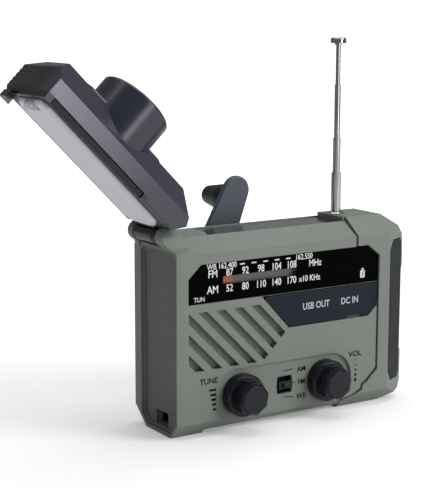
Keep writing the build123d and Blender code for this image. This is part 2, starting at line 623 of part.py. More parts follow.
def gear_outline(teeth, turn):
    """Points round an involute spur gear with one tooth centred on the angle turn."""
    pitch_r = MODULE * teeth / 2
    base_r = pitch_r * math.cos(PRESSURE)
    tip_r = pitch_r + ADDENDUM
    root_r = pitch_r - DEDENDUM
    half_pitch = math.pi / (2 * teeth) - BACKLASH / (2 * pitch_r)
    low_r = max(base_r, root_r + 0.05)
    flank = [low_r + (tip_r - low_r) * k / 4 for k in range(5)]
    halves = [half_pitch + involute(PRESSURE) - involute(math.acos(min(1, base_r / r))) for r in flank]
    points = []
    for tooth in range(teeth):
        centre = math.radians(turn) + 2 * math.pi * tooth / teeth
        sides = [(root_r, -halves[0])] + [(r, -h) for r, h in zip(flank, halves)]
        sides += [(r, h) for r, h in reversed(list(zip(flank, halves)))] + [(root_r, halves[0])]
        points += [(r * math.cos(centre + a), r * math.sin(centre + a)) for r, a in sides]
    return points


def gear(plane, x, z, teeth, turn, amount):
    """A spur gear on a plane, added to the part being built."""
    prism(plane, [(x + px, z + pz) for px, pz in gear_outline(teeth, turn)], amount)


REAR_PLANE_Y = 26.6
FRONT_PLANE_Y = 19.6
GEAR_T = 2.8
PINION_GAP = 180 - 180 / PINION_TEETH

with BuildPart() as crank_shaft:
    rod(front(ARM_Y + 3.0), CRANK_X, CRANK_Z, 2.5, ARM_Y + 3.0 - 24.0)
    rod(front(24.0), CRANK_X, CRANK_Z, 1.5, 5.6)
crank_shaft.part.label = "crank_shaft"
export_step(crank_shaft.part, "parts/crank_shaft.step")

with BuildPart() as crank_gear:
    gear(front(REAR_PLANE_Y), CRANK_X, CRANK_Z, WHEEL_TEETH, STEP_ANGLE, -GEAR_T)
    rod(front(REAR_PLANE_Y - 1.2), CRANK_X, CRANK_Z, 5.0, -1.4)
    rod(front(0), CRANK_X, CRANK_Z, 2.5, -40, Mode.SUBTRACT)
    with BuildSketch(front(REAR_PLANE_Y - 2)):
        with Locations((CRANK_X, CRANK_Z)):
            with PolarLocations(9.0, 5):
                Circle(2.4)
    extrude(amount=-8, mode=Mode.SUBTRACT)
crank_gear.part.label = "crank_gear"
export_step(crank_gear.part, "parts/crank_gear.step")

with BuildPart() as step_gear:
    gear(front(FRONT_PLANE_Y), STEP_X, STEP_Z, WHEEL_TEETH, 0, -GEAR_T)
    gear(front(FRONT_PLANE_Y + GEAR_T), STEP_X, STEP_Z, PINION_TEETH, STEP_ANGLE + PINION_GAP,
         -(REAR_PLANE_Y - FRONT_PLANE_Y + 0.3))
    rod(front(0), STEP_X, STEP_Z, 1.0 + SHAFT_PLAY, -40, Mode.SUBTRACT)
step_gear.part.label = "step_gear"
export_step(step_gear.part, "parts/step_gear.step")

with BuildPart() as step_axle:
    rod(front(18.0), STEP_X, STEP_Z, 1.0, -13.8)
step_axle.part.label = "step_axle"
export_step(step_axle.part, "parts/step_axle.step")

FRAME_LEGS = [(28, 32), (60, 58.5), (61.5, 25.5)]
with BuildPart() as gearbox_frame:
    prism(front(18.0), [(24, 29), (24, 56), (30, 61), (62, 61), (74, 48), (74, 33), (66, 23), (57, 23)],
          -1.2)
    for x, z in FRAME_LEGS:
        rod(front(18.0), x, z, 2.0, -(CAVITY_BACK - 18.0))
    rod(front(0), CRANK_X, CRANK_Z, 1.5 + SHAFT_PLAY, -40, Mode.SUBTRACT)
    rod(front(0), STEP_X, STEP_Z, 1.0, -40, Mode.SUBTRACT)
    rod(front(0), ROTOR_X, ROTOR_Z, 1.0 + SHAFT_PLAY, -40, Mode.SUBTRACT)
gearbox_frame.part.label = "gearbox_frame"
export_step(gearbox_frame.part, "parts/gearbox_frame.step")

with BuildPart() as generator_case:
    rod(front(22.9), ROTOR_X, ROTOR_Z, 11.0, -(CAVITY_BACK - 22.9))
    rod(front(23.9), ROTOR_X, ROTOR_Z, 9.6, -(CAVITY_BACK - 24.9), Mode.SUBTRACT)
    rod(front(20), ROTOR_X, ROTOR_Z, 1.0 + SHAFT_PLAY, -10.4, Mode.SUBTRACT)
generator_case.part.label = "generator_case"
export_step(generator_case.part, "parts/generator_case.step")

with BuildPart() as generator_rotor:
    gear(front(FRONT_PLANE_Y), ROTOR_X, ROTOR_Z, PINION_TEETH, PINION_GAP, -GEAR_T)
    rod(front(18.1), ROTOR_X, ROTOR_Z, 1.0, -12.2)
    rod(front(24.6), ROTOR_X, ROTOR_Z, 7.4, -4.4)
generator_rotor.part.label = "generator_rotor"
export_step(generator_rotor.part, "parts/generator_rotor.step")

lean = math.radians(CRANK_LEAN)
TIP_X = CRANK_X + CRANK_ARM * math.cos(lean)
TIP_Z = CRANK_Z + CRANK_ARM * math.sin(lean)
HANDLE_X = TIP_X - 4.0 * math.cos(lean)
HANDLE_Z = TIP_Z - 4.0 * math.sin(lean)

with BuildPart() as crank_arm:
    with BuildSketch(front(ARM_Y)):
        with Locations((CRANK_X, CRANK_Z)):
            Circle(9.4)
        with Locations((TIP_X, TIP_Z)):
            Circle(6.1)
        make_hull()
    extrude(amount=-3.2)
    chamfer(faces().sort_by(Axis.Y)[0].edges(), 0.5)
    chamfer(faces().sort_by(Axis.Y)[-1].edges(), 0.9)
    rod(front(ARM_Y - 1), CRANK_X, CRANK_Z, 2.5, -4.0, Mode.SUBTRACT)
    rod(front(ARM_Y + 0.6), HANDLE_X, HANDLE_Z, 1.3, -4, Mode.SUBTRACT)
crank_arm.part.label = "crank_arm"
export_step(crank_arm.part, "parts/crank_arm.step")

HANDLE_Y = ARM_Y + 3.4
with BuildPart() as crank_handle:
    ring_profile(HANDLE_X, HANDLE_Z,
                 [(1.3 + SHAFT_PLAY, HANDLE_Y), (5.5, HANDLE_Y), (5.9, HANDLE_Y + 0.6),
                  (5.9, HANDLE_Y + 3.4), (3.9, HANDLE_Y + 15.6), (2.6, HANDLE_Y + 17.0),
                  (2.2, HANDLE_Y + 17.0), (2.2, HANDLE_Y + 15.8), (1.3 + SHAFT_PLAY, HANDLE_Y + 15.8)])
crank_handle.part.label = "crank_handle"
export_step(crank_handle.part, "parts/crank_handle.step")

with BuildPart() as handle_pin:
    rod(front(ARM_Y + 0.6), HANDLE_X, HANDLE_Z, 1.3, -18.7)
    rod(front(HANDLE_Y + 15.9), HANDLE_X, HANDLE_Z, 2.1, -1.0)
handle_pin.part.label = "handle_pin"
export_step(handle_pin.part, "parts/handle_pin.step")

# ---- lamp head ------------------------------------------------------------------------
LAMP_BACK = 33.0
LAMP_T = 18.0
LAMP_SIDE = [(0.8, 2.2), (3.0, 0.4), (13.0, 0.4), (LAMP_T, 3.8), (LAMP_T, 70.4), (9.2, 75.9),
             (6.2, 77.4), (0.8, 73.0)]
LAMP_FACE = [(1.9, 0), (0.3, 19), (0.3, LAMP_BACK), (80, LAMP_BACK), (80, 0)]
LAMP_CROSS = [(0.8, 0), (9.4, 0), (LAMP_T, -8), (LAMP_T, -26), (13.5, -LAMP_BACK), (0.8, -LAMP_BACK)]
TORCH_UP = 37.1
TORCH_Y = 17.0
TORCH_R = 14.8
TORCH_BACK = 11.4
TORCH_RIM = 30.0
BARREL_R = 3.6
DIFFUSER = [(4.0, 6.5), (7.4, 4.0), (68, 4.4), (71.4, 8.5), (71.8, 12), (71.4, 24.5), (68.1, 27.4),
            (7, 27.4), (4.0, 24.4)]
LATCH_Y = 15.0
LATCH_UP = 5.8

with BuildPart() as lamp_hollow:
    prism(lamp_side(1.8), [(0, 3.4), (11.5, 3.4), (LAMP_T - 1.8, 6.0), (LAMP_T - 1.8, 68.2),
                           (7.4, 72.6), (0, 72.6)], LAMP_BACK - 3.6)
    prism(lamp_section(-5), [(0, -1.8), (8.8, -1.8), (LAMP_T - 1.8, -9), (LAMP_T - 1.8, -25.3),
                             (12.4, 1.8 - LAMP_BACK), (0, 1.8 - LAMP_BACK)], 95, Mode.INTERSECT)

with BuildPart() as torch_seat:
    rod(lamp_face(TORCH_BACK - 1.2), TORCH_UP, TORCH_Y, TORCH_R + 1.2, LAMP_T - TORCH_BACK + 0.8)
    prism(lamp_section(-5), LAMP_CROSS, 95, Mode.INTERSECT)

with BuildPart() as lamp_shell:
    prism(lamp_side(0), LAMP_SIDE, LAMP_BACK)
    prism(lamp_section(-5), LAMP_CROSS, 95, Mode.INTERSECT)
    prism(lamp_face(-1), LAMP_FACE, LAMP_T + 2, Mode.INTERSECT)
    # hollow, open towards the body
    add(lamp_hollow.part, mode=Mode.SUBTRACT)
    # raised pad round the torch, and the torch's seat
    prism(lamp_face(LAMP_T - 0.4), [(13, 12), (17, 9), (55, 9), (59, 12), (59, 22), (55, 25),
                                    (17, 25), (13, 22)], 1.3)
    add(torch_seat.part)
    rod(lamp_face(TORCH_BACK), TORCH_UP, TORCH_Y, TORCH_R + 0.1, 20, Mode.SUBTRACT)
    rod(lamp_face(0), TORCH_UP, TORCH_Y, 10.0, 20, Mode.SUBTRACT)
    # lip at the free corner, and the ridges of the end
    prism(lamp_face(-2.3), [(0.4, 25.4), (0.4, 31.6), (5.4, 31.6), (1.0, 25.9)], 3.1)
    for k in range(5):
        block(lamp_section(-1), 3.15 + 2 * k, -LAMP_BACK - 1, 4.05 + 2 * k, -20, 1.55, Mode.SUBTRACT)
    # long groove along the front band
    block(lamp_side(-1), 0, 5, 3.2, 55, 2.0, Mode.SUBTRACT)
    # seat of the push button
    rod(lamp_face(LAMP_T - 3), 10.0, TORCH_Y, 2.9, 6, Mode.SUBTRACT)
    # hinge barrel and its neck
    with BuildSketch(lamp_side(13.8)):
        with Locations((HINGE_X, HINGE_Z)):
            Circle(BARREL_R)
        with BuildLine():
            Polyline((0.9, HINGE_Z + 3.3), (6.0, HINGE_Z), (7.0, 74), (2.0, 73.2), (0.8, 74.5), close=True)
        make_face()
    extrude(amount=13.0)
    rod(lamp_side(0), HINGE_X, HINGE_Z, HINGE_PIN_R + SHAFT_PLAY, LAMP_BACK, Mode.SUBTRACT)
lamp_shell.part.label = "lamp_shell"
export_step(lamp_shell.part, "parts/lamp_shell.step")

with BuildPart() as lamp_diffuser:
    prism(lamp_face(-0.7), DIFFUSER, 3.0)
    chamfer(faces().sort_by(Axis(LAMP_FOOT, LAMP_OUT))[0].edges(), 0.9)
    block(lamp_face(-2), 2, LATCH_Y - 4.2, LATCH_UP + 2.4, LATCH_Y + 4.2, 6, Mode.SUBTRACT)
lamp_diffuser.part.label = "lamp_diffuser"
export_step(lamp_diffuser.part, "parts/lamp_diffuser.step")

with BuildPart() as lamp_frame:
    prism(lamp_face(0.8), shrunk([(3.4, 1.8), (72.5, 1.8), (72.5, LAMP_BACK - 1.8),
                                  (3.4, LAMP_BACK - 1.8)], 0.1), 1.6)
    prism(lamp_face(0), shrunk(DIFFUSER, -0.1), 4, Mode.SUBTRACT)
lamp_frame.part.label = "lamp_frame"
export_step(lamp_frame.part, "parts/lamp_frame.step")

with BuildPart() as lamp_board:
    block(lamp_face(6.0), 9, 4.5, 67, 28.0, 1.2)
lamp_board.part.label = "lamp_board"
export_step(lamp_board.part, "parts/lamp_board.step")

with BuildPart() as lamp_leds:
    with BuildSketch(lamp_face(6.0)):
        with Locations((38, 16.2)):
            with GridLocations(10.5, 10, 6, 2):
                Rectangle(3.5, 2.8)
    extrude(amount=-0.9)
lamp_leds.part.label = "lamp_leds"
export_step(lamp_leds.part, "parts/lamp_leds.step")


def torch_ring(points):
    """A part turned about the torch's axis: points are (distance out, radius)."""
    centre = LAMP_FOOT + LAMP_UP * TORCH_UP + Vector(0, TORCH_Y, 0)
    with BuildSketch(Plane(origin=centre, x_dir=LAMP_OUT, z_dir=(0, 1, 0))) as section:
        with BuildLine():
            Polyline(*points, close=True)
        make_face()
    revolve(section.sketch, axis=Axis(centre, LAMP_OUT))


with BuildPart() as torch_bezel:
    torch_ring([(TORCH_BACK, 10.2), (TORCH_BACK, TORCH_R), (TORCH_RIM - 0.8, TORCH_R),
                (TORCH_RIM, TORCH_R - 0.8), (TORCH_RIM, 12.9), (TORCH_RIM - 3.0, 12.2),
                (TORCH_BACK + 1.6, 12.2), (TORCH_BACK + 1.6, 10.2)])
torch_bezel.part.label = "torch_bezel"
export_step(torch_bezel.part, "parts/torch_bezel.step")

with BuildPart() as torch_reflector:
    torch_ring([(TORCH_BACK + 1.7, 2.6), (TORCH_BACK + 1.7, 11.8), (TORCH_RIM - 4.7, 11.8),
                (TORCH_RIM - 4.7, 11.2), (TORCH_BACK + 7.5, 8.2), (TORCH_BACK + 3.4, 4.4),
                (TORCH_BACK + 2.5, 2.6)])
torch_reflector.part.label = "torch_reflector"
export_step(torch_reflector.part, "parts/torch_reflector.step")

with BuildPart() as torch_lens:
    torch_ring([(TORCH_RIM - 4.6, 0), (TORCH_RIM - 4.6, 12.1), (TORCH_RIM - 3.1, 12.1),
                (TORCH_RIM - 3.1, 0)])
torch_lens.part.label = "torch_lens"
export_step(torch_lens.part, "parts/torch_lens.step")

with BuildPart() as torch_led:
    torch_ring([(TORCH_BACK + 0.2, 0), (TORCH_BACK + 0.2, 9.8), (TORCH_BACK + 1.5, 9.8),
                (TORCH_BACK + 1.5, 2.3), (TORCH_BACK + 3.2, 2.3), (TORCH_BACK + 3.2, 0)])
torch_led.part.label = "torch_led"
export_step(torch_led.part, "parts/torch_led.step")

with BuildPart() as lamp_button:
    rod(lamp_face(LAMP_T - 2.4), 10.0, TORCH_Y, 2.7, 4.0)
    fillet(faces().sort_by(Axis(LAMP_FOOT, LAMP_OUT))[-1].edges(), 0.5)
lamp_button.part.label = "lamp_button"
export_step(lamp_button.part, "parts/lamp_button.step")

with BuildPart() as lamp_latch:
    prism(lamp_side(LATCH_Y - 3.2), [(3.4, LATCH_UP - 1.4), (3.4, LATCH_UP + 1.3), (-2.6, LATCH_UP + 1.3),
                                     (-2.6, LATCH_UP + 0.2), (-1.6, LATCH_UP - 1.4)], 6.4)
lamp_latch.part.label = "lamp_latch"
export_step(lamp_latch.part, "parts/lamp_latch.step")

# ---- hinge and fasteners -----------------------------------------------------------
with BuildPart() as hinge_pin:
    rod(front(6.5), HINGE_X, HINGE_Z, HINGE_PIN_R, -24.5)
hinge_pin.part.label = "hinge_pin"
export_step(hinge_pin.part, "parts/hinge_pin.step")

with BuildPart() as hinge_collar:
    rod(front(10.0), HINGE_X, HINGE_Z, BARREL_R, -3.5)
    rod(front(0), HINGE_X, HINGE_Z, HINGE_PIN_R, -20, Mode.SUBTRACT)
hinge_collar.part.label = "hinge_collar"
export_step(hinge_collar.part, "parts/hinge_collar.step")

with BuildPart() as case_screws:
    for x, z in SCREWS:
        rod(front(DEPTH - 1.7), x, z, 2.3, -1.4)
        rod(front(DEPTH - 1.7), x, z, 1.05, 14)
        block(front(DEPTH - 0.9), x - 1.6, z - 0.3, x + 1.6, z + 0.3, -1, Mode.SUBTRACT)
        block(front(DEPTH - 0.9), x - 0.3, z - 1.6, x + 0.3, z + 1.6, -1, Mode.SUBTRACT)
case_screws.part.label = "case_screws"
export_step(case_screws.part, "parts/case_screws.step")
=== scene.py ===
"""Looks for the emergency radio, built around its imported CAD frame."""
import json
import math

import bmesh
import bpy
from mathutils import Matrix, Vector


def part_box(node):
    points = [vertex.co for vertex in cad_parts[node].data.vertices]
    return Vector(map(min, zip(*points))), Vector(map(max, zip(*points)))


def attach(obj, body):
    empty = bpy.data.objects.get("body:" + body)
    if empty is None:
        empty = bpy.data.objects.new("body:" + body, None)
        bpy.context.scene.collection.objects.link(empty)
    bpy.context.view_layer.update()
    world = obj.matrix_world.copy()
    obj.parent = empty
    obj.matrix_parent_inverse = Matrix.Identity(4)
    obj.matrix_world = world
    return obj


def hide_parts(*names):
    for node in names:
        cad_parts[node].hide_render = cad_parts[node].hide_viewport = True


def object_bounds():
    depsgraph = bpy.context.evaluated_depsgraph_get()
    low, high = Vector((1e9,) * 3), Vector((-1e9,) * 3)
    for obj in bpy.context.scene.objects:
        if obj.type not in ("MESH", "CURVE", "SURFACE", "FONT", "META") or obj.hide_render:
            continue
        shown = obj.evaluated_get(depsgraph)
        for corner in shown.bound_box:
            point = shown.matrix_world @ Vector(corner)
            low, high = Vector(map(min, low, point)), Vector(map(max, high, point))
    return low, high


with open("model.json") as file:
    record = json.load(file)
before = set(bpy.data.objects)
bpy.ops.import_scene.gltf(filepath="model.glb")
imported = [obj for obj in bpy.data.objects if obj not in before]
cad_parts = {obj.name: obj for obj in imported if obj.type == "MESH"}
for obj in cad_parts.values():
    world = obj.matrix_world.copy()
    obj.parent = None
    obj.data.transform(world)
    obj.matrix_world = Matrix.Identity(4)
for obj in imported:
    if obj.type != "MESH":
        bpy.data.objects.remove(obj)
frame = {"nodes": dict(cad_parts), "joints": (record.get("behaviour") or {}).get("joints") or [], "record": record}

cad_low, cad_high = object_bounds()
MM = 0.001
NODE_SLOT = {s["node"]: s["material_slot"] for s in frame["record"]["subparts"]}
NODE_BODY = {n: b for b, ns in frame["record"]["behaviour"]["bodies"].items() for n in ns}

# ---- places taken from the frame ----------------------------------------------------
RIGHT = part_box("end_cap")[1].x
LEFT = -RIGHT
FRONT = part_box("front_casing")[0].y
SCENE = bpy.context.scene.collection


def joint(name):
    """The joint of that name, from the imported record."""
    return next(j for j in frame["joints"] if j["name"] == name)


def spot(x, y, z):
    """A point measured in millimetres from the body's front, left, bottom corner."""
    return Vector((LEFT + x * MM, FRONT + y * MM, z * MM))


# ---- camera ---------------------------------------------------------------------------
CAMERA_AT = spot(-252.7, -424.2, 163.3)
CAMERA_YAW = 32.49
CAMERA_PITCH = 10.09
FOCAL = 98.3

camera_data = bpy.data.cameras.new("camera")
camera_data.lens = FOCAL
camera_data.sensor_width = 36
camera = bpy.data.objects.new("camera", camera_data)
camera.location = CAMERA_AT
camera.rotation_euler = (math.radians(90 - CAMERA_PITCH), math.radians(-0.12), math.radians(-CAMERA_YAW))
SCENE.objects.link(camera)
bpy.context.scene.camera = camera
bpy.context.scene.view_settings.view_transform = "Standard"


# ---- the lamp head's own frame ---------------------------------------------------------
LAMP_OPEN = -joint("lamp_hinge")["range_deg"][0]
HINGE = Vector(joint("lamp_hinge")["pos_m"])
SWING = Matrix.Translation((HINGE.x, 0, HINGE.z)) @ Matrix.Rotation(math.radians(LAMP_OPEN), 4, "Y")
LAMP_UP = (SWING.to_3x3() @ Vector((0, 0, 1))).normalized()
LAMP_OUT = (SWING.to_3x3() @ Vector((-1, 0, 0))).normalized()


def lamp_spot(out, depth, height):
    """A point on the lamp head, from where it would be with the head folded down."""
    closed = Vector((-out * MM, FRONT + depth * MM, height * MM)) + Vector((LEFT, 0, 0))
    return SWING @ (closed - Vector((HINGE.x, 0, HINGE.z)))


# ---- materials ------------------------------------------------------------------------
def node_tree(name):
    """A new material with its tree, its Principled shader and its object coordinates."""
    material = bpy.data.materials.new(name)
    material.use_nodes = True
    tree = material.node_tree
    shader = tree.nodes["Principled BSDF"]
    coords = tree.nodes.new("ShaderNodeTexCoord").outputs["Object"]
    return material, tree, shader, coords


def noise(tree, coords, scale, detail=3.0):
    """Fractal noise; scale is in features per metre."""
    n = tree.nodes.new("ShaderNodeTexNoise")
    n.inputs["Scale"].default_value = scale
    n.inputs["Detail"].default_value = detail
    tree.links.new(coords, n.inputs["Vector"])
    return n.outputs["Fac"]


def ramp(tree, value, low, high, start=0.3, end=0.7):
    """A colour that runs between two colours as value goes from start to end."""
    r = tree.nodes.new("ShaderNodeValToRGB")
    r.color_ramp.elements[0].position = start
    r.color_ramp.elements[1].position = end
    r.color_ramp.elements[0].color = (*low, 1)
    r.color_ramp.elements[1].color = (*high, 1)
    tree.links.new(value, r.inputs["Fac"])
    return r.outputs["Color"]


def spread(tree, value, low, high):
    """A number that runs between low and high as value goes over noise's usual range."""
    m = tree.nodes.new("ShaderNodeMapRange")
    m.inputs["From Min"].default_value = 0.3
    m.inputs["From Max"].default_value = 0.7
    m.inputs["To Min"].default_value = low
    m.inputs["To Max"].default_value = high
    tree.links.new(value, m.inputs["Value"])
    return m.outputs["Result"]


def bump(tree, shader, height, distance, strength=1.0):
    b = tree.nodes.new("ShaderNodeBump")
    b.inputs["Distance"].default_value = distance
    b.inputs["Strength"].default_value = strength
    tree.links.new(height, b.inputs["Height"])
    tree.links.new(b.outputs["Normal"], shader.inputs["Normal"])


def plastic(name, colour, rough=0.5, grain=2600, depth=0.00003, variation=0.06, specular=0.5):
    """Moulded plastic: slight colour drift, uneven gloss and a fine sparked grain."""
    material, tree, shader, coords = node_tree(name)
    drift = noise(tree, coords, 30, 4)
    low = [c * (1 - variation) for c in colour]
    high = [c * (1 + variation) for c in colour]
    tree.links.new(ramp(tree, drift, low, high), shader.inputs["Base Color"])
    tree.links.new(spread(tree, noise(tree, coords, 180), rough * 0.92, min(1, rough * 1.1)),
                   shader.inputs["Roughness"])
    bump(tree, shader, noise(tree, coords, grain, 2), depth, 0.5)
    shader.inputs["Specular IOR Level"].default_value = specular
    return material


def lamp_shell_plastic(name, colour, end_colour, painted_reflection_colour, rough=0.3):
    """Lamp plastic: darker on the free end, with a painted reflection: a lighter band on the side that faces the
    front, fading out towards the hinge.
    """
    material = plastic(name, colour, rough, grain=3000, depth=0.00001)
    tree = material.node_tree
    shader = tree.nodes["Principled BSDF"]
    coords = tree.nodes.new("ShaderNodeTexCoord").outputs["Object"]
    base = shader.inputs["Base Color"].links[0].from_socket
    along = tree.nodes.new("ShaderNodeVectorMath")
    along.operation = "DOT_PRODUCT"
    along.inputs[1].default_value = LAMP_UP
    tree.links.new(coords, along.inputs[0])

    def from_height(low, high):
        part = tree.nodes.new("ShaderNodeMapRange")
        part.inputs["From Min"].default_value = LAMP_UP.dot(lamp_spot(8, 16, low))
        part.inputs["From Max"].default_value = LAMP_UP.dot(lamp_spot(8, 16, high))
        tree.links.new(along.outputs["Value"], part.inputs["Value"])
        return part.outputs["Result"]

    def blend(factor, first, second):
        mix = tree.nodes.new("ShaderNodeMix")
        mix.data_type = "RGBA"
        tree.links.new(factor, mix.inputs["Factor"])
        tree.links.new(first, mix.inputs["A"])
        tree.links.new(second, mix.inputs["B"])
        return mix.outputs["Result"]

    # Painted reflection: faces that point to the front get the lighter colour, strongest near the free end and
    # fading out towards the hinge.
    split = tree.nodes.new("ShaderNodeSeparateXYZ")
    geometry = tree.nodes.new("ShaderNodeNewGeometry")
    tree.links.new(geometry.outputs["Normal"], split.inputs["Vector"])
    faces_front = tree.nodes.new("ShaderNodeMath")
    faces_front.operation = "LESS_THAN"
    faces_front.inputs[1].default_value = -0.97
    tree.links.new(split.outputs["Y"], faces_front.inputs[0])
    reflection_fade = from_height(56, 6)
    band = tree.nodes.new("ShaderNodeMath")
    band.operation = "MULTIPLY"
    tree.links.new(faces_front.outputs["Value"], band.inputs[0])
    tree.links.new(reflection_fade, band.inputs[1])
    drift = noise(tree, coords, 90, 4)
    lit = ramp(tree, drift, [c * 0.95 for c in painted_reflection_colour], painted_reflection_colour)
    dark = ramp(tree, drift, [c * 0.8 for c in end_colour], end_colour)
    colour_out = blend(band.outputs["Value"], base, lit)
    outwards = tree.nodes.new("ShaderNodeVectorMath")
    outwards.operation = "DOT_PRODUCT"
    outwards.inputs[1].default_value = LAMP_OUT
    tree.links.new(coords, outwards.inputs[0])

    def below(out):
        part = tree.nodes.new("ShaderNodeMapRange")
        part.inputs["From Min"].default_value = LAMP_OUT.dot(lamp_spot(out + 0.05, 16, 40))
        part.inputs["From Max"].default_value = LAMP_OUT.dot(lamp_spot(out - 0.05, 16, 40))
        tree.links.new(outwards.outputs["Value"], part.inputs["Value"])
        return part.outputs["Result"]

    rim = tree.nodes.new("ShaderNodeMath")
    rim.operation = "MULTIPLY"
    tree.links.new(below(3.25), rim.inputs[0])
    tree.links.new(from_height(58, 57), rim.inputs[1])
    either = tree.nodes.new("ShaderNodeMath")
    either.operation = "MAXIMUM"
    tree.links.new(rim.outputs["Value"], either.inputs[0])
    tree.links.new(below(1.5), either.inputs[1])
    colour_out = blend(either.outputs["Value"], colour_out, dark)
    colour_out = blend(from_height(1.6, 0.9), colour_out, dark)
    tree.links.new(colour_out, shader.inputs["Base Color"])
    return material


def metal(name, colour, rough=0.15, brushed=0.0):
    """Bare or plated metal with faint handling marks; brushed adds turning lines along Z."""
    material, tree, shader, coords = node_tree(name)
    marks = noise(tree, coords, 120, 3)
    tree.links.new(ramp(tree, marks, [c * 0.93 for c in colour], colour), shader.inputs["Base Color"])
    tree.links.new(spread(tree, marks, rough * 0.8, rough * 1.4), shader.inputs["Roughness"])
    shader.inputs["Metallic"].default_value = 1.0
    if brushed:
        stretch = tree.nodes.new("ShaderNodeMapping")
        stretch.inputs["Scale"].default_value = (200, 200, 6000)
        tree.links.new(coords, stretch.inputs["Vector"])
        bump(tree, shader, noise(tree, stretch.outputs["Vector"], 1.0, 2), 0.00001, brushed)
    return material


def printed(name, colour):
    """Silk-screened ink with a little unevenness."""
    material, tree, shader, coords = node_tree(name)
    ink = noise(tree, coords, 1500, 3)
    tree.links.new(ramp(tree, ink, [c * 0.85 for c in colour], colour), shader.inputs["Base Color"])
    tree.links.new(spread(tree, ink, 0.4, 0.6), shader.inputs["Roughness"])
    shader.inputs["Specular IOR Level"].default_value = 0.1
    return material


def clear(name, colour, rough):
    """Clear moulded plastic or glass."""
    material, tree, shader, coords = node_tree(name)
    haze = noise(tree, coords, 400, 4)
    tree.links.new(ramp(tree, haze, [c * 0.96 for c in colour], colour), shader.inputs["Base Color"])
    tree.links.new(spread(tree, haze, rough, rough * 2), shader.inputs["Roughness"])
    shader.inputs["Transmission Weight"].default_value = 1.0
    shader.inputs["IOR"].default_value = 1.45
    return material


def solar_cells(name):
    """Dark cells with thin silver fingers under a clear glossy layer."""
    material, tree, shader, coords = node_tree(name)
    split = tree.nodes.new("ShaderNodeSeparateXYZ")
    tree.links.new(coords, split.inputs["Vector"])

    def stripes(axis, pitch, width):
        scaled = tree.nodes.new("ShaderNodeMath")
        scaled.operation = "MULTIPLY"
        scaled.inputs[1].default_value = 1 / pitch
        tree.links.new(split.outputs[axis], scaled.inputs[0])
        part = tree.nodes.new("ShaderNodeMath")
        part.operation = "FRACT"
        tree.links.new(scaled.outputs[0], part.inputs[0])
        thin = tree.nodes.new("ShaderNodeMath")
        thin.operation = "LESS_THAN"
        thin.inputs[1].default_value = width / pitch
        tree.links.new(part.outputs[0], thin.inputs[0])
        return thin.outputs[0]

    fingers = stripes("X", 0.0016, 0.00012)
    bars = stripes("X", 0.0128, 0.0006)
    either = tree.nodes.new("ShaderNodeMath")
    either.operation = "MAXIMUM"
    tree.links.new(fingers, either.inputs[0])
    tree.links.new(bars, either.inputs[1])
    mix = tree.nodes.new("ShaderNodeMix")
    mix.data_type = "RGBA"
    tree.links.new(either.outputs[0], mix.inputs["Factor"])
    crystal = ramp(tree, noise(tree, coords, 500, 5), (0.006, 0.007, 0.011), (0.012, 0.014, 0.022))
    tree.links.new(crystal, mix.inputs["A"])
    mix.inputs["B"].default_value = (0.10, 0.10, 0.11, 1)
    tree.links.new(mix.outputs["Result"], shader.inputs["Base Color"])
    tree.links.new(spread(tree, noise(tree, coords, 60), 0.08, 0.14), shader.inputs["Roughness"])
    shader.inputs["Coat Weight"].default_value = 1.0
    shader.inputs["Coat Roughness"].default_value = 0.05
    return material


OLIVE = (0.172, 0.193, 0.167)
MATERIALS = {
    "olive": plastic("olive", OLIVE, 0.55, variation=0.035),
    "panel": plastic("panel", (0.115, 0.115, 0.105), 0.6),
    "navy": plastic("navy", (0.007, 0.0075, 0.013), 0.24, grain=3500, depth=0.00001, specular=0.28),
    "navy_rubber": plastic("navy_rubber", (0.009, 0.013, 0.021), 0.5, specular=0.15),
    # The lamp's third colour is a painted reflection for the side that faces the front.
    "lamp_plastic": lamp_shell_plastic("lamp_plastic", (0.028, 0.029, 0.046), (0.004, 0.004, 0.005),
                                       (0.15, 0.155, 0.20)),
    "crank_plastic": plastic("crank_plastic", (0.058, 0.070, 0.090), 0.42),
    "black_plastic": plastic("black_plastic", (0.006, 0.006, 0.007), 0.4, specular=0.25),
    "dial_black": plastic("dial_black", (0.0003, 0.0003, 0.0004), 0.3, depth=0.000002, specular=0.02),
    "rail_grey": plastic("rail_grey", (0.14, 0.14, 0.145), 0.4),
    "pointer_orange": plastic("pointer_orange", (0.36, 0.085, 0.028), 0.4),
    "diffuser": plastic("diffuser", (0.66, 0.66, 0.72), 0.45, depth=0.000005, variation=0.02),
    "clear_lens": clear("clear_lens", (0.95, 0.97, 1.0), 0.02),
    "chrome": metal("chrome", (0.42, 0.42, 0.43), 0.13),
    "steel": metal("steel", (0.45, 0.45, 0.47), 0.3, brushed=0.3),
    "circuit": plastic("circuit", (0.02, 0.12, 0.05), 0.35),
    "nylon": plastic("nylon", (0.70, 0.69, 0.64), 0.5),
    "solar": solar_cells("solar"),
    "cell_wrap": plastic("cell_wrap", (0.03, 0.12, 0.4), 0.3),
    "paper": plastic("paper", (0.02, 0.02, 0.02), 0.8),
    "led": plastic("led", (0.85, 0.72, 0.25), 0.3),
}
LOOKS = {
    "end_cap_inlay": plastic("inlay_black", (0.014, 0.015, 0.015), 0.5, specular=0.12),
    "torch_bezel": plastic("torch_plastic", (0.017, 0.019, 0.036), 0.26, grain=3500, depth=0.000006),
}
INK_WHITE = printed("ink_white", (0.80, 0.80, 0.82))
INK_DARK = printed("ink_dark", (0.004, 0.0045, 0.004))
INK_PALE = printed("ink_pale", (0.50, 0.52, 0.58))


# ---- making pieces --------------------------------------------------------------------
def new_piece(name, mesh, body, material):
    piece = bpy.data.objects.new(name, mesh)
    SCENE.objects.link(piece)
    mesh.materials.clear()
    mesh.materials.append(material)
    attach(piece, body)
    return piece


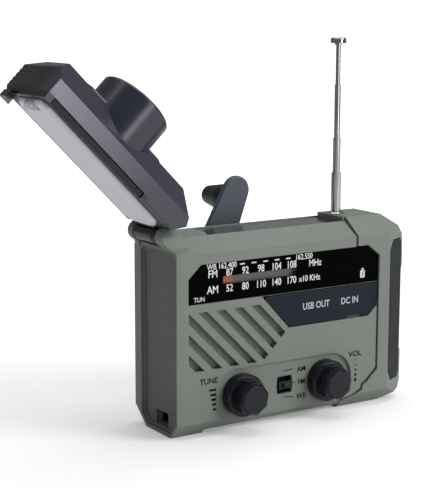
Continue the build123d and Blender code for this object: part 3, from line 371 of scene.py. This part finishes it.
def refined(node, width, segments=2, angle=24.0):
    """A piece that stands for a CAD node, with the same faces and softly rounded edges."""
    source = frame["nodes"][node]
    work = bmesh.new()
    work.from_mesh(source.data)
    bmesh.ops.remove_doubles(work, verts=work.verts, dist=0.000004)
    bmesh.ops.dissolve_limit(work, angle_limit=math.radians(0.6), verts=work.verts, edges=work.edges)
    sharp = [e for e in work.edges
             if len(e.link_faces) == 2 and e.calc_face_angle(0) > math.radians(angle)]
    bmesh.ops.bevel(work, geom=sharp, offset=width * MM, offset_type="OFFSET", segments=segments,
                    profile=0.5, affect="EDGES", clamp_overlap=True)
    mesh = bpy.data.meshes.new(node + "_refined")
    work.to_mesh(mesh)
    work.free()
    for polygon in mesh.polygons:
        polygon.use_smooth = True
    mesh.set_sharp_from_angle(angle=math.radians(38))
    slot = NODE_SLOT[node]
    piece = new_piece(node + "_refined", mesh, NODE_BODY[node], LOOKS.get(node, MATERIALS[slot]))
    weighted = piece.modifiers.new("weighted", "WEIGHTED_NORMAL")
    weighted.keep_sharp = True
    weighted.weight = 80
    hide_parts(node)
    return piece


def label(name, text, x, z, size, ink, depth, stretch=1.0, weight=0.0, body="body"):
    """Printed lettering on the front: x, z are the middle of its base line."""
    curve = bpy.data.curves.new(name, "FONT")
    curve.body = text
    curve.size = size * MM
    curve.align_x = "CENTER"
    curve.extrude = 0.012 * MM
    curve.offset = weight * MM
    curve.resolution_u = 3
    source = bpy.data.objects.new(name + "_text", curve)
    SCENE.objects.link(source)
    bpy.context.view_layer.update()
    mesh = bpy.data.meshes.new_from_object(source.evaluated_get(bpy.context.evaluated_depsgraph_get()))
    bpy.data.objects.remove(source)
    place = Matrix.Translation(spot(x, depth, z)) @ Matrix.Rotation(math.radians(90), 4, "X")
    mesh.transform(place @ Matrix.Diagonal((stretch, 1, 1, 1)))
    return new_piece(name, mesh, body, ink)


def bars(name, shapes, ink, depth, body="body"):
    """Printed bars on the front: each shape is (x, z, width, height) round its middle."""
    work = bmesh.new()
    for x, z, w, h in shapes:
        made = bmesh.ops.create_cube(work, size=1)
        place = Matrix.Translation(spot(x, depth, z)) @ Matrix.Diagonal((w * MM, 0.03 * MM, h * MM, 1))
        bmesh.ops.transform(work, matrix=place, verts=made["verts"])
    mesh = bpy.data.meshes.new(name)
    work.to_mesh(mesh)
    work.free()
    return new_piece(name, mesh, body, ink)


def dots(name, shapes, ink, depth):
    """Printed dots on the front: each shape is (x, z, radius)."""
    work = bmesh.new()
    for x, z, r in shapes:
        made = bmesh.ops.create_cone(work, cap_ends=True, segments=20, radius1=r * MM, radius2=r * MM,
                                     depth=0.03 * MM)
        place = Matrix.Translation(spot(x, depth, z)) @ Matrix.Rotation(math.radians(90), 4, "X")
        bmesh.ops.transform(work, matrix=place, verts=made["verts"])
    mesh = bpy.data.meshes.new(name)
    work.to_mesh(mesh)
    work.free()
    return new_piece(name, mesh, "body", ink)


def leader(name, lines, width, ink, depth):
    """Printed lines on the front: each is a pair of (x, z) ends."""
    work = bmesh.new()
    for (x0, z0), (x1, z1) in lines:
        made = bmesh.ops.create_cube(work, size=1)
        run = math.hypot(x1 - x0, z1 - z0)
        place = (Matrix.Translation(spot((x0 + x1) / 2, depth, (z0 + z1) / 2))
                 @ Matrix.Rotation(-math.atan2(z1 - z0, x1 - x0), 4, "Y")
                 @ Matrix.Diagonal((run * MM, 0.03 * MM, width * MM, 1)))
        bmesh.ops.transform(work, matrix=place, verts=made["verts"])
    mesh = bpy.data.meshes.new(name)
    work.to_mesh(mesh)
    work.free()
    return new_piece(name, mesh, "body", ink)


# ---- CAD nodes: materials, and softer edges where they show --------------------------
SOFT_EDGES = {
    "front_casing": 0.35, "rear_casing": 0.35, "end_cap": 0.5, "lamp_shell": 0.3, "port_cover": 0.2,
    "end_cap_inlay": 0.2, "side_panel": 0.15, "torch_bezel": 0.25, "tuning_knob": 0.35,
    "volume_knob": 0.35, "band_slider": 0.15, "crank_arm": 0.3, "lamp_latch": 0.3,
    "lamp_diffuser": 0.3, "lamp_button": 0.15, "hinge_collar": 0.2,
}
for name, node in frame["nodes"].items():
    node.data.materials.clear()
    node.data.materials.append(LOOKS.get(name, MATERIALS[NODE_SLOT[name]]))
for name, width in SOFT_EDGES.items():
    refined(name, width)

# ---- extra details --------------------------------------------------------------------
def slab(name, corners, thickness, body, material, point=lamp_spot, bevel=0.15):
    """A flat piece with an outline of (out, height) corners that faces the front."""
    work = bmesh.new()
    front_y, back_y = thickness
    near = [work.verts.new(point(x, front_y, z)) for x, z in corners]
    far = [work.verts.new(point(x, back_y, z)) for x, z in corners]
    work.faces.new(near)
    work.faces.new(list(reversed(far)))
    for k in range(len(corners)):
        j = (k + 1) % len(corners)
        work.faces.new((near[j], near[k], far[k], far[j]))
    bmesh.ops.recalc_face_normals(work, faces=work.faces)
    bmesh.ops.bevel(work, geom=list(work.edges), offset=bevel * MM, offset_type="OFFSET", segments=2,
                    profile=0.5, affect="EDGES", clamp_overlap=True)
    mesh = bpy.data.meshes.new(name)
    work.to_mesh(mesh)
    work.free()
    return new_piece(name, mesh, body, material)


slab("lamp_groove_strip", [(0.9, 5.3), (3.0, 5.3), (3.0, 54.7), (0.9, 54.7)], (0.35, 0.98), "lamp",
     MATERIALS["black_plastic"])

# ---- lettering ------------------------------------------------------------------------
WINDOW_FACE = (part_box("dial_window")[0].y - FRONT) / MM - 0.005
COVER_FACE = (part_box("port_cover")[0].y - FRONT) / MM - 0.005
FACE = -0.005
KNOB_FACE = 1.3 - 0.005

ROW_X = [23.4 + 7.25 * k for k in range(5)]
label("dial_weather", "WB 162.400", 19.9, 65.4, 3.1, INK_WHITE, WINDOW_FACE, stretch=0.85, weight=0.03)
bars("dial_dashes", [(29.2 + 5.4 * k, 66.3, 2.2, 0.5) for k in range(5)], INK_WHITE, WINDOW_FACE)
label("dial_weather_end", "162.550", 58.4, 65.3, 3.1, INK_WHITE, WINDOW_FACE, stretch=0.85, weight=0.03)
label("dial_fm", "FM", 15.8, 62.3, 4.2, INK_WHITE, WINDOW_FACE, stretch=0.85, weight=0.05)
label("dial_am", "AM", 15.8, 56.2, 4.2, INK_WHITE, WINDOW_FACE, stretch=0.85, weight=0.05)
for k, (fm, am) in enumerate(zip(("87", "92", "98", "104", "108"), ("52", "80", "110", "140", "170"))):
    label(f"dial_fm_{k}", fm, ROW_X[k], 62.4, 4.0, INK_WHITE, WINDOW_FACE, stretch=0.8, weight=0.05)
    label(f"dial_am_{k}", am, ROW_X[k], 56.2, 4.0, INK_WHITE, WINDOW_FACE, stretch=0.8, weight=0.05)
label("dial_mhz", "MHz", 63.9, 62.1, 3.8, INK_WHITE, WINDOW_FACE, stretch=0.85, weight=0.04)
label("dial_khz", "x10 KHz", 61.3, 56.3, 3.4, INK_WHITE, WINDOW_FACE, stretch=0.85, weight=0.04)
label("dial_tun", "TUN", 9.8, 53.5, 2.6, INK_WHITE, WINDOW_FACE, stretch=0.9, weight=0.02)
bars("dial_battery", [(88.0, 56.2, 2.3, 3.0), (88.0, 58.3, 1.1, 0.6)], INK_WHITE, WINDOW_FACE)
leader("dial_battery_bolt", [((88.7, 57.4), (87.6, 56.2)), ((87.6, 56.2), (88.5, 56.0)),
                             ((88.5, 56.0), (87.5, 54.9))], 0.35, INK_DARK, WINDOW_FACE - 0.02)
label("cover_usb", "USB OUT", 64.7, 44.8, 3.8, INK_PALE, COVER_FACE, stretch=0.85, weight=0.07, body="cover")
label("cover_dc", "DC IN", 81.6, 44.8, 3.8, INK_PALE, COVER_FACE, stretch=0.85, weight=0.07, body="cover")
label("name_tune", "TUNE", 13.8, 21.0, 3.15, INK_DARK, FACE, weight=0.08)
label("name_volume", "VOL", 84.7, 22.2, 3.2, INK_DARK, FACE, stretch=1.1, weight=0.08)
bars("tune_marks", [(15.7 + 0.18 * k, 18.3 - 1.95 * k, 3.1 - 0.42 * k, 0.9) for k in range(5)], INK_DARK, FACE)
dots("volume_marks", [(85.15, 20.6 - 2.12 * k, 0.25 + 0.125 * k) for k in range(5)], INK_DARK, FACE)
for text, z in (("AM", 19.3), ("FM", 14.05), ("WB", 8.1)):
    label("band_" + text.lower(), text, 58.6, z, 3.0, INK_DARK, KNOB_FACE, weight=0.07)
leader("band_leaders", [((49.6, 20.5), (54.4, 20.9)), ((54.2, 15.1), (55.6, 15.1)),
                        ((49.7, 9.9), (54.5, 9.3))], 0.35, INK_DARK, KNOB_FACE)

# ---- floor and light ------------------------------------------------------------------
floor_mesh = bpy.data.meshes.new("floor")
side = 6.0
floor_mesh.from_pydata([(-side, -side, 0), (side, -side, 0), (side, side, 0), (-side, side, 0)], [],
                       [(0, 1, 2, 3)])
floor = bpy.data.objects.new("floor", floor_mesh)
floor.location.z = cad_low.z
SCENE.objects.link(floor)
floor_material, floor_tree, floor_shader, floor_coords = node_tree("floor")
floor_tree.links.new(ramp(floor_tree, noise(floor_tree, floor_coords, 3), (0.90, 0.90, 0.90), (0.93, 0.93, 0.93)),
                     floor_shader.inputs["Base Color"])
floor_shader.inputs["Roughness"].default_value = 0.7
floor_rays = floor_tree.nodes.new("ShaderNodeLightPath")
floor_range = floor_tree.nodes.new("ShaderNodeVectorMath")
floor_range.operation = "LENGTH"
floor_tree.links.new(floor_coords, floor_range.inputs[0])
floor_glow = floor_tree.nodes.new("ShaderNodeMapRange")
floor_glow.interpolation_type = "SMOOTHSTEP"
floor_glow.inputs["From Min"].default_value = 0.05
floor_glow.inputs["From Max"].default_value = 0.9
floor_glow.inputs["To Min"].default_value = 0.22
floor_glow.inputs["To Max"].default_value = 1.0
floor_tree.links.new(floor_range.outputs["Value"], floor_glow.inputs["Value"])
floor_seen = floor_tree.nodes.new("ShaderNodeMath")
floor_seen.operation = "MULTIPLY"
floor_tree.links.new(floor_glow.outputs["Result"], floor_seen.inputs[0])
floor_tree.links.new(floor_rays.outputs["Is Camera Ray"], floor_seen.inputs[1])
floor_shader.inputs["Emission Color"].default_value = (1, 1, 1, 1)
floor_tree.links.new(floor_seen.outputs["Value"], floor_shader.inputs["Emission Strength"])
floor_mesh.materials.append(floor_material)

world = bpy.data.worlds.new("studio")
bpy.context.scene.world = world
world.use_nodes = True
world_tree = world.node_tree
background = world_tree.nodes["Background"]
background.inputs["Color"].default_value = (1, 1, 1, 1)
background.inputs["Strength"].default_value = 1.05
dim = world_tree.nodes.new("ShaderNodeBackground")
dim.inputs["Color"].default_value = (0.96, 0.98, 1, 1)
dim.inputs["Strength"].default_value = 0.22
rays = world_tree.nodes.new("ShaderNodeLightPath")
choice = world_tree.nodes.new("ShaderNodeMixShader")
world_tree.links.new(rays.outputs["Is Camera Ray"], choice.inputs["Fac"])
world_tree.links.new(dim.outputs["Background"], choice.inputs[1])
world_tree.links.new(background.outputs["Background"], choice.inputs[2])
world_tree.links.new(choice.outputs["Shader"], world_tree.nodes["World Output"].inputs["Surface"])


def soft_light(name, place, aim, width, height, watts):
    """A rectangular softbox aimed at a point."""
    data = bpy.data.lights.new(name, "AREA")
    data.shape = "RECTANGLE"
    data.size = width
    data.size_y = height
    data.energy = watts
    light = bpy.data.objects.new(name, data)
    light.location = place
    light.rotation_euler = (Vector(aim) - Vector(place)).to_track_quat("-Z", "Y").to_euler()
    SCENE.objects.link(light)


soft_light("key", (0.75, -0.85, 0.7), (0, 0, 0.05), 0.6, 0.6, 9)
soft_light("card", (0.16, -0.6, 0.13), (-0.09, -0.016, 0.12), 0.16, 0.16, 0.5)
soft_light("top", (0.1, 0.15, 1.1), (0, 0, 0), 1.2, 1.2, 8.5)
